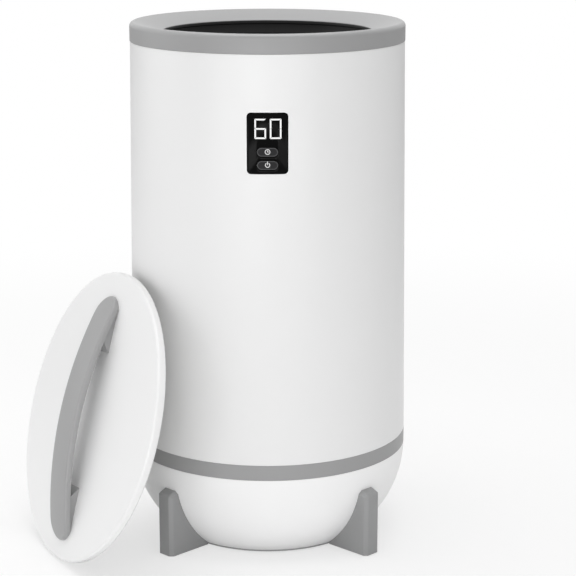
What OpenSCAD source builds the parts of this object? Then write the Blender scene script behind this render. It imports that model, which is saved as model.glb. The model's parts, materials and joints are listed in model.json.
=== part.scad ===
// Bucket towel warmer with its lid taken off and leaning on the shell.
// Millimetres, +Z up, -Y is the front. The origin is on the floor, on the axis of the bucket.

/* [Bucket] */
// Height of the bucket from the floor to the top of its rim
body_h = 547; // [520:1:600]
// Outer radius of the grey ring at the top
rim_r = 143; // [140:0.5:148]
// Outer radius of the shell at the trim band, where it is widest
band_r = 147.2; // [146:0.2:156]
// How far the shell stands back from the ring above it
shell_step = 0.4; // [0.2:0.1:1]
// Wall thickness of the plastic shells
wall = 2.6; // [2:0.1:3.4]

/* [Rim ring] */
// Height of the ring's upright outer band
rim_band_h = 19.4; // [18:0.2:26]
// Width of the nearly flat lip on top of the ring
rim_lip_w = 12.5; // [10:0.5:16]
// Radius of the ring's rounded outer top edge
rim_edge = 2.4; // [1:0.2:3]
// Radius of the round mouth inside the ring
mouth_r = 108.5; // [102:0.5:110]
// How far the sloping part falls from the lip to the mouth
funnel_drop = 9.4; // [7:0.2:11]
// Height of the upright face at the mouth
mouth_face_h = 3.6; // [3:0.2:5]
// Depth of the ring's spigot inside the shell
spigot_h = 12; // [9:1:18]

/* [Inner bucket] */
// How much wider the metal bucket is than the mouth above it
bucket_step = 1.5; // [1:0.1:2.5]
// Sheet thickness of the metal bucket
sheet = 1.2; // [0.8:0.1:2]
// Radius of the corner between its wall and its floor
bucket_corner = 10; // [6:1:16]
// Width of the turned-out flange at its top
flange_w = 24; // [21:1:25]

/* [Heating] */
// Thickness of the heating mat that is wrapped around the bucket
heater_t = 0.8; // [0.5:0.1:1.4]
// Height of the heating mat
heater_h = 250; // [180:5:280]
// Thickness of the insulation sleeve
sleeve_t = 12; // [9:0.5:12.5]
// Thickness of the insulation under the bucket
floor_ins_t = 18; // [14:0.5:24]
// Small clearance between stacked and nested pieces
fit = 0.2; // [0.15:0.05:0.3]

/* [Trim band and base] */
// Height above the floor of the trim band's lower edge
band_z = 95.4; // [92:0.2:104]
// Height of the trim band
band_h = 15.8; // [12:0.2:20]
// Radius of the bowl's curved side, seen in section
bowl_curve = 117; // [112:1:120]
// Height of the bowl's flat bottom above the floor
bowl_z = 2.8; // [2.4:0.1:4]
// Thickness of the grey plate under the bowl
base_plate_t = 1.6; // [1.2:0.1:2]
// Thickness of the chassis plate that carries the bucket
chassis_t = 3; // [2.5:0.5:4]

/* [Feet] */
// How far the outer faces of the feet stand out past the trim band
foot_out = 7; // [4:0.2:9]
// Thickness of a foot
foot_t = 21.5; // [18:0.5:24]
// Height of a foot where it meets the bowl
foot_h = 71; // [66:1:78]
// How far its top falls from the bowl to its outer face
foot_fall = 4; // [2:0.5:6]
// Bevel on the upright outer edges of a foot and along its top
foot_bevel = 3.5; // [1:0.5:5]
// How far the rubber pads stand out under the feet
pad_out = 0.8; // [0.5:0.1:1.2]

/* [Control panel] */
// Width of the panel
panel_w = 40.6; // [39:0.2:44]
// Height of the panel
panel_h = 60.4; // [59:0.2:66]
// Distance of the panel's centre below the top of the bucket
panel_drop = 106; // [86:1:150]
// Corner radius of the panel
panel_corner = 4.1; // [2:0.1:5]
// Thickness of the panel
panel_t = 1.8; // [1.4:0.1:2.2]
// How far the panel stands out of the shell
panel_out = 0.4; // [0.2:0.1:0.8]
// Width of one digit
digit_w = 12.4; // [11:0.2:12.8]
// Height of one digit
digit_h = 20.9; // [18:0.2:21.4]
// Width of one segment of a digit
seg_w = 2.4; // [1.6:0.1:2.8]
// Height of the digits' centre above the panel's centre
display_up = 14; // [13:0.5:16]
// Distance of the timer button below the panel's centre
timer_down = 8.7; // [8:0.1:9.5]
// Distance of the power button below the panel's centre
power_down = 21.9; // [21.5:0.1:22.5]
// Width of a button
button_w = 20.6; // [18:0.2:22]
// Height of a button
button_h = 8.9; // [7.6:0.1:9.2]
// How far a button stands out of the panel
button_out = 0.7; // [0.6:0.1:1]
// How far a button can be pressed
press_travel = 0.6; // [0.4:0.05:0.6]

/* [Lid] */
// Radius of the lid
lid_r = 152; // [149.5:0.5:156]
// Thickness of the lid at its edge
lid_t = 9; // [8.5:0.5:12]
// Rounding of the lid's edge on its outer face
lid_edge = 2.5; // [2:0.5:5]
// Radius of the plug under the lid that enters the mouth
plug_r = 106.5; // [100:0.5:106.5]
// Depth of the plug below the lid's edge
plug_h = 22; // [18:0.5:24]
// Lean of the lid from upright
lid_lean = 17.4; // [15:0.1:21]
// Side of the bucket on which the lid leans, from the front towards the left
lid_turn = 62.8; // [50:0.1:80]
// How far the leaning lid stands off centre, sideways
lid_side = 6.5; // [0:0.5:20]

/* [Lid handle] */
// Length of the arched strap, over its round ends
handle_l = 257; // [250:1:264]
// Width of the strap
handle_w = 40; // [32:1:44]
// Height of the strap's top above the lid, at the middle
handle_h = 23.8; // [23:0.2:28]
// Height of the strap's top at the tips of its round ends
handle_end_h = 3.6; // [3:0.1:5]
// Thickness of the strap
strap_t = 6.5; // [5.5:0.1:7]
// Turn of the strap on the leaning lid, from upright
handle_turn = 7.8; // [0:0.2:15]

/* [Hidden] */
$fn = 96;

white = [0.93, 0.93, 0.93];
grey = [0.63, 0.63, 0.63];
dark = [0.09, 0.09, 0.1];
metal = [0.75, 0.76, 0.78];
board_green = [0.1, 0.35, 0.2];
felt = [0.78, 0.76, 0.7];

// A cut reaches this far past the face that it opens
past = 1;
// A cut into the front of the shell reaches this far to both sides of its face
front_reach = 12;

// Heights of the stacked pieces, from the trim band upwards
band_top = band_z + band_h;
shell_top = body_h - rim_band_h;
band_spigot_h = 10;
chassis_gap = 3.6;
chassis_z = band_top + band_spigot_h + chassis_gap;
chassis_top = chassis_z + chassis_t;
bucket_z = chassis_top + floor_ins_t + 2 * fit;
mouth_low_z = body_h - funnel_drop - mouth_face_h;
bucket_top = mouth_low_z - fit;
bucket_r = mouth_r + bucket_step;
bucket_out_r = bucket_r + sheet;

// The shell is a slim cone: its outer radius at a height
shell_top_r = rim_r - shell_step;
function shell_r(z) = band_r + (shell_top_r - band_r) * (z - band_top) / (shell_top - band_top);

// The bowl's side is one arc that starts upright at the band: its outer radius at a height
bowl_axis_r = band_r - bowl_curve;
function bowl_r(z, inset) =
  bowl_axis_r + sqrt(pow(bowl_curve - inset, 2) - pow(band_z - z, 2));

// Screw sizes: shank radius, head radius, head height
m3_r = 1.4;
m3_head_r = 2.8;
m3_head_h = 2.2;
m4_r = 1.9;
m4_head_r = 3.6;
m4_head_h = 2.6;
// Extra radius of a hole that a screw passes through, and of one that it bites in
pass = 0.4;
bite = 0.1;

// How far a boss reaches into the wall that carries it
boss_grip = 0.8;

// Screw circles
rim_screw_count = 6;
rim_screw_in = 8.5;
rim_screw_r = bucket_out_r + flange_w - rim_screw_in;
rim_boss_r = 4;
rim_hole_h = 6.6;
rim_screw_l = rim_hole_h + sheet - 1.3;
shell_boss_r = 5.5;
shell_boss_h = 20;
chassis_screw_count = 4;
chassis_screw_r = shell_r(chassis_top) - wall - shell_boss_r + boss_grip;
chassis_screw_l = 14;
column_r = 5.5;
column_ring_r = 78;
column_turn = 22.5;
base_screw_l = 16;
csk_h = 2.2;
lid_screw_count = 6;
lid_screw_r = (plug_r + rim_r - rim_lip_w) / 2;
lid_screw_l = 6;
lid_boss_r = 4;

// Snap bead of the ring's spigot, and the part of its radius that stays inside the spigot
snap_z = shell_top - spigot_h / 2;
snap_bead = 0.8;
snap_in = 0.6;

// Heating mat, its sleeve, and the slot in the sleeve for the heater's leads
heater_up = 6;
heater_z = bucket_z + bucket_corner + heater_up;
heater_in_r = bucket_out_r + fit;
sleeve_in_r = heater_in_r + heater_t + fit;
sleeve_out_r = sleeve_in_r + sleeve_t;
seam_w = 6;
slot_w = 16;
slot_up = 40;
slot_h = heater_z + slot_up - chassis_top;

// Sensors under the bucket
sensor_x = 40;
sensor_well_r = 11;
sensor_hole_r = 5;
thermostat_rim_r = 9;
thermostat_rim_t = 2;
thermostat_r = 7.5;
thermostat_h = 9;
tab = [3, 0.8, 7];
tab_x = 4;
fuse_plate = [8, 16, 1];
fuse_r = 2.2;
fuse_l = 12;
fuse_clip_w = 4;

// Feet
foot_r = band_r + foot_out;
foot_shoulder = 1.5;
foot_tongue = 6;
foot_toe_h = 8;
foot_angles = [45, 135, 225, 315];
foot_floor_z = pad_out;
foot_screw_z = [52, 28];
foot_screw_l = 17;
foot_boss_r = 6;
foot_boss_in = 5;
pad_w = 12;
pad_l = 30;
pad_let_in = 1.5;

// Control electronics behind the panel, as distances from the bucket's axis
panel_z = body_h - panel_drop;
panel_r = shell_r(panel_z);
recess = panel_t - panel_out;
window_edge = 2.4;
board_in = 13;
board_face = panel_r - board_in;
board_t = 1.6;
board_w = 54;
board_h = 74;
board_edge = 4;
board_screw_x = board_w / 2 - board_edge;
board_screw_z = board_h / 2 - board_edge;
board_screw_l = 7;
board_boss_r = 3.4;
display_w = 33;
display_h = 23;
display_z = panel_z + display_up;
display_in = 1.6;
display_face = panel_r - recess - display_in;
digit_gap = 2.5;
digit_split = 0.35;
timer_z = panel_z - timer_down;
power_z = panel_z - power_down;
button_gap = 0.25;
button_rim = 1;
button_rim_t = 1;
stem_r = 2;
switch_w = 6.2;
switch_h = 3.6;
plunger_r = 1.7;
plunger_gap = 0.08;
plunger_out = 1.2;
plunger_in = 1;
plunger_play = 0.3;
stem_end = board_face + fit + switch_h + plunger_out;

// Power board under the chassis plate, and what stands on it: corner, then size
power_w = 90;
power_d = 60;
power_edge = 5;
standoff_h = 8;
standoff_r = 3;
power_top = chassis_z - standoff_h;
power_low = power_top - fit - board_t;
power_screw_x = power_w / 2 - power_edge;
power_screw_y = power_d / 2 - power_edge;
relay_at = [-32, -18];
relay = [22, 16, 16];
coil_at = [8, -16];
coil = [24, 26, 19];
terminal_at = [-6, 12];
terminal = [20, 10, 10];
capacitor_at = [-20, 14];
capacitor_r = 5;
capacitor_h = 18;

// Cord gland at the rear of the bowl
gland_z = 70;
gland_bore = 3.5;
gland_r = 6.5;
gland_flange_r = 9.5;
gland_flange_t = 2.4;
gland_seat_r = gland_flange_r + 1;
gland_seat_t = 8;
gland_face = bowl_r(gland_z + gland_seat_r, 0) + fit;
gland_in = 13;
gland_snap = 1.5;

// Wires, and the openings in the chassis plate that they pass through
wire_hole_r = 7;
rear_hole_y = bucket_out_r + wire_hole_r + 1;
front_hole_y = -(bucket_out_r + heater_t + sleeve_t + wire_hole_r + 0.5);
mains_wire_r = 2.2;
heater_wire_r = 1.2;
panel_wire_r = 1.5;
wire_pair = 2.2;
wire_spread = 5;
wire_gap = 0.2;
wire_dip = 12;
wire_run = 24;

// Where the leaning lid stands. Its rounded back edge rests on the floor, and its plug's rounded
// rim leans on the shell.
lid_back_edge = 2;
plug_edge = 2;
lid_floor_gap = 0.3;
lid_shell_gap = 0.4;
lid_centre_z = lid_floor_gap + lid_back_edge + (lid_t - lid_back_edge) * sin(lid_lean)
  + (lid_r - lid_back_edge) * cos(lid_lean);
plug_rim = [plug_r - plug_edge, lid_t + plug_h - plug_edge];
lid_touch_z = lid_centre_z + plug_rim[0] * cos(lid_lean) - plug_rim[1] * sin(lid_lean);
lid_out = shell_r(lid_touch_z) + lid_shell_gap + plug_edge
  + plug_rim[1] * cos(lid_lean) + plug_rim[0] * sin(lid_lean);
lid_skin = 3;
lid_skirt = 3.6;
lid_inner_t = 2;
seal_h = 2.2;
seal_out = 1.8;
seal_let_in = 0.7;
seal_z = -lid_t - funnel_drop - mouth_face_h / 2;

// The strap's top is one arc, through its middle and its tips, and its round ends lie on the lid
strap_half = handle_l / 2 - handle_w / 2;
strap_rise = handle_h - handle_end_h;
strap_arc = (pow(handle_l / 2, 2) + pow(strap_rise, 2)) / (2 * strap_rise);
heel_l = 38;
heel_slope = 13;
heel_in = strap_half - heel_l;
heel_top = heel_in + heel_slope;
heel_out = strap_half + 10.5;
foot_inset = 3.4;
handle_foot_w = handle_w - 2 * foot_inset;
handle_screw_s = strap_half - 15;
handle_screw_x = 9;
handle_screw_l = 9;
// A blind hole is this much deeper than its screw is long
hole_spare = 0.5;

// Basic shapes

// Solid of the shell's outer cone, drawn in by inset, between two heights
module cone(inset, z0, z1) {
  translate([0, 0, z0])
    cylinder(r1 = shell_r(z0) - inset, r2 = shell_r(z1) - inset, h = z1 - z0, $fn = 360);
}

// A layer of the shell's cone near the panel, between two insets
module panel_layer(outer, inner) {
  difference() {
    cone(outer, panel_z - panel_h, panel_z + panel_h);
    cone(inner, panel_z - panel_h - past, panel_z + panel_h + past);
  }
}

// Carries a flat outline to the front and extrudes it along Y, from near to far out
module to_front(near, far, z) {
  translate([0, -near, z])
    rotate([90, 0, 0])
      linear_extrude(height = far - near)
        children();
}

// Carries a flat outline to the front and extrudes it through the shell's wall
module through_front(z) {
  to_front(panel_r - front_reach, panel_r + front_reach, z)
    children();
}

module rounded_rect(w, h, r) {
  square([w - 2 * r, h], center = true);
  square([w, h - 2 * r], center = true);
  for (x = [-1, 1], y = [-1, 1])
    translate([x * (w / 2 - r), y * (h / 2 - r)])
      circle(r);
}

module pill(w, h) {
  square([w - h, h], center = true);
  for (x = [-1, 1])
    translate([x * (w - h) / 2, 0])
      circle(h / 2);
}

// Outline of half a pan, for turning about Z
module pan_profile(r, z0, z1, corner) {
  translate([0, z0 + corner])
    square([r, z1 - z0 - corner]);
  translate([0, z0])
    square([r - corner, corner + past]);
  translate([r - corner, z0 + corner])
    circle(corner);
}

// Half section of the bowl's outside, drawn in by inset
module bowl_profile(inset) {
  intersection() {
    union() {
      translate([0, bowl_z + inset])
        square([bowl_axis_r, band_z - bowl_z - inset]);
      translate([bowl_axis_r, band_z])
        circle(bowl_curve - inset, $fn = 180);
    }
    translate([0, bowl_z + inset])
      square([band_r, band_z - bowl_z - inset]);
  }
}

module screw(shank_r, length, head_r, head_h) {
  cylinder(r = shank_r, h = length);
  translate([0, 0, -head_h])
    cylinder(r = head_r, h = head_h);
}

module around(count, r, turn = 0) {
  for (i = [0 : count - 1])
    rotate([0, 0, turn + i * 360 / count])
      translate([r, 0, 0])
        children();
}

// A wire through a list of points, mitred at its bends. No run of it may point along X.
function unit(v) = v / norm(v);
function wire_way(points, i) =
  unit((i > 0 ? unit(points[i] - points[i - 1]) : [0, 0, 0])
    + (i < len(points) - 1 ? unit(points[i + 1] - points[i]) : [0, 0, 0]));
function wire_stretch(points, i) =
  i > 0 && i < len(points) - 1 ? 1 / (wire_way(points, i) * unit(points[i + 1] - points[i])) : 1;

module wire(points, r) {
  sides = 8;
  last = len(points) - 1;
  rings = [
    for (i = [0 : last])
      let (way = wire_way(points, i), side = unit(cross(way, [1, 0, 0])), across = cross(side, way))
        for (k = [0 : sides - 1])
          points[i] + r * (cos(k * 360 / sides) * across
            + sin(k * 360 / sides) * side * wire_stretch(points, i))
  ];
  walls = [
    for (i = [0 : last - 1], k = [0 : sides - 1])
      let (a = i * sides + k, b = i * sides + (k + 1) % sides)
        each [[a, b, b + sides], [a, b + sides, a + sides]]
  ];
  ends = [
    for (k = [1 : sides - 2])
      each [[0, k + 1, k], [last * sides, last * sides + k, last * sides + k + 1]]
  ];
  polyhedron(rings, concat(walls, ends));
}

// Shell, ring and bucket

module outer_shell() {
  color(white)
    difference() {
      union() {
        difference() {
          cone(0, band_top + fit, shell_top - fit);
          cone(wall, band_top - past, shell_top + past);
        }
        shell_bosses();
        board_bosses();
      }
      translate([0, 0, chassis_top])
        around(chassis_screw_count, chassis_screw_r)
          cylinder(r = m4_r + bite, h = chassis_screw_l);
      // Groove for the ring's snap bead
      rotate_extrude()
        translate([shell_r(snap_z) - wall - snap_in, snap_z])
          circle(snap_bead + fit);
      // Recess and window for the panel
      difference() {
        through_front(panel_z)
          rounded_rect(panel_w + 2 * fit, panel_h + 2 * fit, panel_corner);
        cone(recess + fit, panel_z - panel_h, panel_z + panel_h);
      }
      through_front(panel_z)
        rounded_rect(panel_w - 2 * window_edge, panel_h - 2 * window_edge, panel_corner - 1);
      for (x = [-1, 1], z = [-1, 1])
        translate([x * board_screw_x, -board_face, panel_z + z * board_screw_z])
          rotate([90, 0, 0])
            cylinder(r = m3_r + bite, h = board_screw_l);
    }
}

// Screw bosses inside the shell's lower end, for the chassis plate
module shell_bosses() {
  intersection() {
    translate([0, 0, chassis_top + fit])
      around(chassis_screw_count, chassis_screw_r)
        cylinder(r = shell_boss_r, h = shell_boss_h);
    cone(wall / 2, chassis_z, chassis_top + 2 * shell_boss_h);
  }
}

// Screw bosses inside the shell, for the control board
module board_bosses() {
  intersection() {
    for (x = [-1, 1], z = [-1, 1])
      translate([x * board_screw_x, -board_face - fit, panel_z + z * board_screw_z])
        rotate([90, 0, 0])
          cylinder(r = board_boss_r, h = 2 * board_in);
    cone(wall / 2, panel_z - board_h, panel_z + board_h);
  }
}

module rim_ring() {
  wedge = mouth_r + wall;
  lip_in = rim_r - rim_lip_w;
  skin_in = shell_r(shell_top) - wall - 2 * fit - wall;
  color(grey)
    difference() {
      union() {
        rotate_extrude()
          difference() {
            union() {
              translate([mouth_r, mouth_low_z])
                square([lip_in - mouth_r, body_h - mouth_low_z]);
              translate([lip_in, shell_top])
                square([rim_lip_w, rim_band_h]);
              translate([skin_in, shell_top - spigot_h])
                square([wall + fit, spigot_h + past]);
              translate([skin_in + wall + fit - snap_in, snap_z])
                circle(snap_bead);
            }
            // Sloping funnel
            polygon([[mouth_r - past, body_h - funnel_drop - past * funnel_drop / (lip_in - mouth_r)],
                     [lip_in, body_h], [lip_in, body_h + past], [mouth_r - past, body_h + past]]);
            // Hollow under the skin
            polygon([[wedge, mouth_low_z - past],
                     [wedge, body_h - funnel_drop - wall + wall * funnel_drop / (lip_in - mouth_r)],
                     [lip_in, body_h - wall - 2 * fit], [skin_in, body_h - wall - 2 * fit],
                     [skin_in, shell_top - spigot_h - past]]);
            // Rounded outer edge
            difference() {
              translate([rim_r - rim_edge, body_h - rim_edge])
                square(rim_edge + past);
              translate([rim_r - rim_edge, body_h - rim_edge])
                circle(rim_edge);
            }
          }
        // Screw bosses under the slope
        intersection() {
          translate([0, 0, mouth_low_z])
            around(rim_screw_count, rim_screw_r)
              cylinder(r = rim_boss_r, h = body_h - mouth_low_z);
          rotate_extrude()
            polygon([[wedge, mouth_low_z], [skin_in, mouth_low_z], [skin_in, body_h - wall],
                     [lip_in, body_h - wall / 2], [wedge, body_h - funnel_drop - wall / 2]]);
        }
      }
      translate([0, 0, mouth_low_z - past])
        around(rim_screw_count, rim_screw_r)
          cylinder(r = m3_r + bite, h = rim_hole_h);
    }
}

module inner_bucket() {
  color(dark)
    difference() {
      rotate_extrude()
        union() {
          difference() {
            pan_profile(bucket_out_r, bucket_z, bucket_top, bucket_corner + sheet);
            pan_profile(bucket_r, bucket_z + sheet, bucket_top + past, bucket_corner);
          }
          translate([bucket_r, bucket_top - sheet])
            square([flange_w + sheet, sheet]);
        }
      translate([0, 0, bucket_top - sheet - past])
        around(rim_screw_count, rim_screw_r)
          cylinder(r = m3_r + pass, h = sheet + 2 * past);
    }
}

module rim_screws() {
  color(metal)
    translate([0, 0, bucket_top - sheet])
      around(rim_screw_count, rim_screw_r)
        screw(m3_r, rim_screw_l, m3_head_r, m3_head_h);
}

// Heating

module heater_wrap() {
  color([0.75, 0.35, 0.2])
    difference() {
      translate([0, 0, heater_z])
        cylinder(r = heater_in_r + heater_t, h = heater_h);
      translate([0, 0, heater_z - past])
        cylinder(r = heater_in_r, h = heater_h + 2 * past);
      // Open seam at the rear
      translate([-seam_w / 2, 0, heater_z - past])
        cube([seam_w, sleeve_in_r, heater_h + 2 * past]);
    }
}

module insulation_sleeve() {
  top = bucket_top - sheet - m3_head_h - 1;
  color(felt)
    difference() {
      translate([0, 0, chassis_top + fit])
        cylinder(r = sleeve_out_r, h = top - chassis_top - fit);
      translate([0, 0, chassis_top])
        cylinder(r = sleeve_in_r, h = top - chassis_top + past);
      // Slot at the rear for the heater's leads
      translate([-slot_w / 2, 0, chassis_top])
        cube([slot_w, sleeve_out_r + past, slot_h]);
    }
}

module floor_insulation() {
  color(felt)
    difference() {
      translate([0, 0, chassis_top + fit])
        cylinder(r = bucket_r, h = floor_ins_t);
      for (x = [-1, 1])
        translate([x * sensor_x, 0, chassis_top])
          cylinder(r = sensor_well_r, h = floor_ins_t + past);
    }
}

module thermostat() {
  color(metal)
    translate([sensor_x, 0, bucket_z - fit]) {
      translate([0, 0, -thermostat_rim_t])
        cylinder(r = thermostat_rim_r, h = thermostat_rim_t);
      translate([0, 0, -thermostat_h])
        cylinder(r = thermostat_r, h = thermostat_h - thermostat_rim_t / 2);
      for (x = [-1, 1])
        translate([x * tab_x - tab[0] / 2, -tab[1] / 2, -thermostat_h - tab[2] + past])
          cube(tab);
    }
}

module thermal_fuse() {
  color(metal)
    translate([-sensor_x, 0, bucket_z - fit]) {
      translate([-fuse_plate[0] / 2, -fuse_plate[1] / 2, -fuse_plate[2]])
        cube(fuse_plate);
      translate([0, -fuse_l / 2, -fuse_plate[2] - fuse_r + fit])
        rotate([-90, 0, 0])
          cylinder(r = fuse_r, h = fuse_l);
      // Clip around the fuse
      translate([-fuse_r, -fuse_clip_w / 2, -fuse_plate[2] - fuse_r])
        cube([2 * fuse_r, fuse_clip_w, fuse_r + fuse_plate[2] / 2]);
    }
}

// Chassis, band and base

module chassis_plate() {
  color(grey)
    difference() {
      union() {
        translate([0, 0, chassis_z])
          cylinder(r = shell_r(chassis_z) - wall - 3 * fit, h = chassis_t);
        // Columns that the base is screwed to
        translate([0, 0, bowl_z + wall + fit])
          around(4, column_ring_r, column_turn)
            cylinder(r = column_r, h = chassis_z - bowl_z - wall);
        for (x = [-1, 1], y = [-1, 1])
          translate([x * power_screw_x, y * power_screw_y, power_top])
            cylinder(r = standoff_r, h = standoff_h + past);
      }
      translate([0, 0, chassis_z - past])
        around(chassis_screw_count, chassis_screw_r)
          cylinder(r = m4_r + pass, h = chassis_t + 2 * past);
      translate([0, 0, bowl_z])
        around(4, column_ring_r, column_turn)
          cylinder(r = m4_r + bite, h = base_screw_l);
      for (x = [-1, 1], y = [-1, 1])
        translate([x * power_screw_x, y * power_screw_y, power_top - past])
          cylinder(r = m3_r + bite, h = standoff_h);
      for (p = [[0, rear_hole_y], [0, front_hole_y]])
        translate([p[0], p[1], chassis_z - past])
          cylinder(r = wire_hole_r, h = chassis_t + 2 * past);
      for (x = [-1, 1])
        translate([x * sensor_x, 0, chassis_z - past])
          cylinder(r = sensor_hole_r, h = chassis_t + 2 * past);
    }
}

module chassis_screws() {
  color(metal)
    translate([0, 0, chassis_z])
      around(chassis_screw_count, chassis_screw_r)
        screw(m4_r, chassis_screw_l, m4_head_r, m4_head_h);
}

module band_ring() {
  spigot_r = bowl_r(band_z - band_spigot_h, wall) - fit;
  color(grey)
    rotate_extrude() {
      translate([spigot_r - wall, band_z])
        square([band_r - spigot_r + wall, band_h]);
      // Spigots into the bowl below and the shell above
      translate([spigot_r - wall, band_z - band_spigot_h])
        square([wall, band_h + 2 * band_spigot_h]);
    }
}

module base_shell() {
  color(white)
    difference() {
      union() {
        rotate_extrude()
          difference() {
            bowl_profile(0);
            bowl_profile(wall);
            // Opens the top
            translate([0, band_z - past])
              square([bowl_r(band_z, wall), 2 * past]);
            // Leaves the band its seat
            translate([0, band_z - fit])
              square([band_r + past, past]);
          }
        intersection() {
          foot_bosses();
          rotate_extrude()
            bowl_profile(wall / 2);
        }
        translate([0, 0, gland_z])
          rotate([-90, 0, 0])
            translate([0, 0, gland_face - gland_seat_t])
              cylinder(r = gland_seat_r, h = gland_seat_t);
      }
      for (a = foot_angles, z = foot_screw_z)
        rotate([0, 0, a])
          translate([0, 0, z])
            rotate([0, 90, 0])
              translate([0, 0, column_ring_r])
                cylinder(r = m4_r + pass, h = foot_r);
      translate([0, 0, bowl_z - past])
        around(4, column_ring_r, column_turn)
          cylinder(r = m4_r + pass, h = wall + 2 * past);
      translate([0, 0, bowl_z - base_plate_t])
        around(4, column_ring_r, column_turn)
          screw_cone(pass);
      translate([0, 0, gland_z])
        rotate([-90, 0, 0])
          translate([0, 0, gland_face - 2 * gland_seat_t])
            cylinder(r = gland_r + fit, h = 3 * gland_seat_t);
    }
}

// Flat seats for the foot screws on the inside of the bowl
module foot_bosses() {
  for (a = foot_angles, z = foot_screw_z)
    rotate([0, 0, a])
      translate([foot_seat_r(z), 0, z])
        rotate([0, 90, 0])
          cylinder(r = foot_boss_r, h = foot_r);
}

function foot_seat_r(z) = bowl_r(z, wall) - foot_boss_in;

module screw_cone(extra) {
  cylinder(r1 = m4_head_r + extra, r2 = m4_r + extra, h = csk_h);
}

module base_plate() {
  color(grey)
    difference() {
      translate([0, 0, bowl_z - base_plate_t])
        cylinder(r = bowl_r(bowl_z, 0) - fit, h = base_plate_t);
      translate([0, 0, bowl_z - base_plate_t])
        around(4, column_ring_r, column_turn) {
          screw_cone(pass);
          translate([0, 0, -past])
            cylinder(r = m4_head_r + pass, h = past + 0.01);
        }
    }
}

module base_screws() {
  color(metal)
    translate([0, 0, bowl_z - base_plate_t])
      around(4, column_ring_r, column_turn) {
        screw_cone(0);
        cylinder(r = m4_r, h = base_screw_l);
      }
}

module foot(angle) {
  inner = bowl_r(bowl_z, 0);
  outer = bowl_r(foot_h, 0);
  fall = atan(foot_fall / (foot_r - outer));
  color(grey)
    rotate([0, 0, angle])
      difference() {
        intersection() {
          // Side view
          rotate([90, 0, 0])
            translate([0, 0, -foot_t / 2])
              linear_extrude(height = foot_t)
                polygon([[inner, foot_floor_z], [foot_r, foot_floor_z],
                         [foot_r, foot_h - foot_fall - foot_shoulder],
                         [foot_r - foot_shoulder, foot_h - foot_fall + foot_shoulder * tan(fall)],
                         [outer, foot_h], [outer - foot_tongue, foot_h],
                         [inner, bowl_z + foot_toe_h]]);
          // View from above
          linear_extrude(height = foot_h + past)
            polygon([[inner - past, -foot_t / 2], [foot_r - foot_bevel, -foot_t / 2],
                     [foot_r, -foot_t / 2 + foot_bevel], [foot_r, foot_t / 2 - foot_bevel],
                     [foot_r - foot_bevel, foot_t / 2], [inner - past, foot_t / 2]]);
          // View along the falling top
          translate([outer, 0, foot_h])
            rotate([0, fall, 0])
              rotate([90, 0, 90])
                translate([0, 0, -foot_r])
                  linear_extrude(height = 2 * foot_r)
                    polygon([[-foot_t / 2, -foot_r], [foot_t / 2, -foot_r],
                             [foot_t / 2, -foot_bevel], [foot_t / 2 - foot_bevel, 0],
                             [foot_bevel - foot_t / 2, 0], [-foot_t / 2, -foot_bevel]]);
        }
        rotate_extrude()
          union() {
            intersection() {
              translate([bowl_axis_r, band_z])
                circle(bowl_curve + fit, $fn = 180);
              square([foot_r, band_z]);
            }
            square([inner + fit, bowl_z]);
            square([bowl_axis_r, band_z]);
          }
        for (z = foot_screw_z)
          translate([0, 0, z])
            rotate([0, 90, 0])
              cylinder(r = m4_r + bite, h = foot_seat_r(z) + foot_screw_l + hole_spare);
        translate([0, 0, foot_floor_z - past])
          linear_extrude(height = pad_let_in + past)
            pad_outline(fit);
      }
}

module pad_outline(extra) {
  translate([foot_r - foot_bevel - 2 - pad_l / 2, 0])
    pill(pad_l + 2 * extra, pad_w + 2 * extra);
}

module foot_front_left() { foot(225); }
module foot_front_right() { foot(315); }
module foot_rear_left() { foot(135); }
module foot_rear_right() { foot(45); }

module foot_pads() {
  color(dark)
    for (a = foot_angles)
      rotate([0, 0, a])
        linear_extrude(height = pad_out + pad_let_in - fit)
          pad_outline(0);
}

module foot_screws() {
  color(metal)
    for (a = foot_angles, z = foot_screw_z)
      rotate([0, 0, a])
        translate([foot_seat_r(z), 0, z])
          rotate([0, 90, 0])
            screw(m4_r, foot_screw_l, m4_head_r, m4_head_h);
}

module cord_gland() {
  color(dark)
    translate([0, 0, gland_z])
      rotate([-90, 0, 0])
        difference() {
          union() {
            translate([0, 0, gland_face])
              cylinder(r = gland_flange_r, h = gland_flange_t);
            translate([0, 0, gland_face - gland_in])
              cylinder(r = gland_r, h = gland_in + past);
            // Snap collar behind the bowl's wall
            translate([0, 0, gland_face - gland_in])
              cylinder(r = gland_r + gland_snap, h = gland_in - gland_seat_t - fit);
          }
          translate([0, 0, gland_face - gland_in - past])
            cylinder(r = gland_bore, h = gland_in + gland_flange_t + 2 * past);
        }
}

// Control panel

module digit_outline(on) {
  w = digit_w;
  h = digit_h;
  t = seg_w;
  g = digit_split;
  m = h / 2;
  level = [[g, h], [w - g, h], [w - t - g, h - t], [t + g, h - t]];
  upright = [[0, h - g], [t, h - t - g], [t, m + t / 2 + g], [t / 2, m + g], [0, m + t / 4 + g]];
  middle = [[t / 2 + g, m], [t + g, m + t / 2], [w - t - g, m + t / 2],
            [w - t / 2 - g, m], [w - t - g, m - t / 2], [t + g, m - t / 2]];
  flip_x = [for (p = upright) [w - p[0], p[1]]];
  if (on[0]) polygon(level);
  if (on[1]) polygon(flip_x);
  if (on[2]) polygon([for (p = flip_x) [p[0], h - p[1]]]);
  if (on[3]) polygon([for (p = level) [p[0], h - p[1]]]);
  if (on[4]) polygon([for (p = upright) [p[0], h - p[1]]]);
  if (on[5]) polygon(upright);
  if (on[6]) polygon(middle);
}

// Both digits, seen from the front, about the display's centre
module digits_outline() {
  translate([-digit_gap / 2 - digit_w, -digit_h / 2])
    digit_outline([true, false, true, true, true, true, true]);
  translate([digit_gap / 2, -digit_h / 2])
    digit_outline([true, true, true, true, true, true, false]);
}

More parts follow.
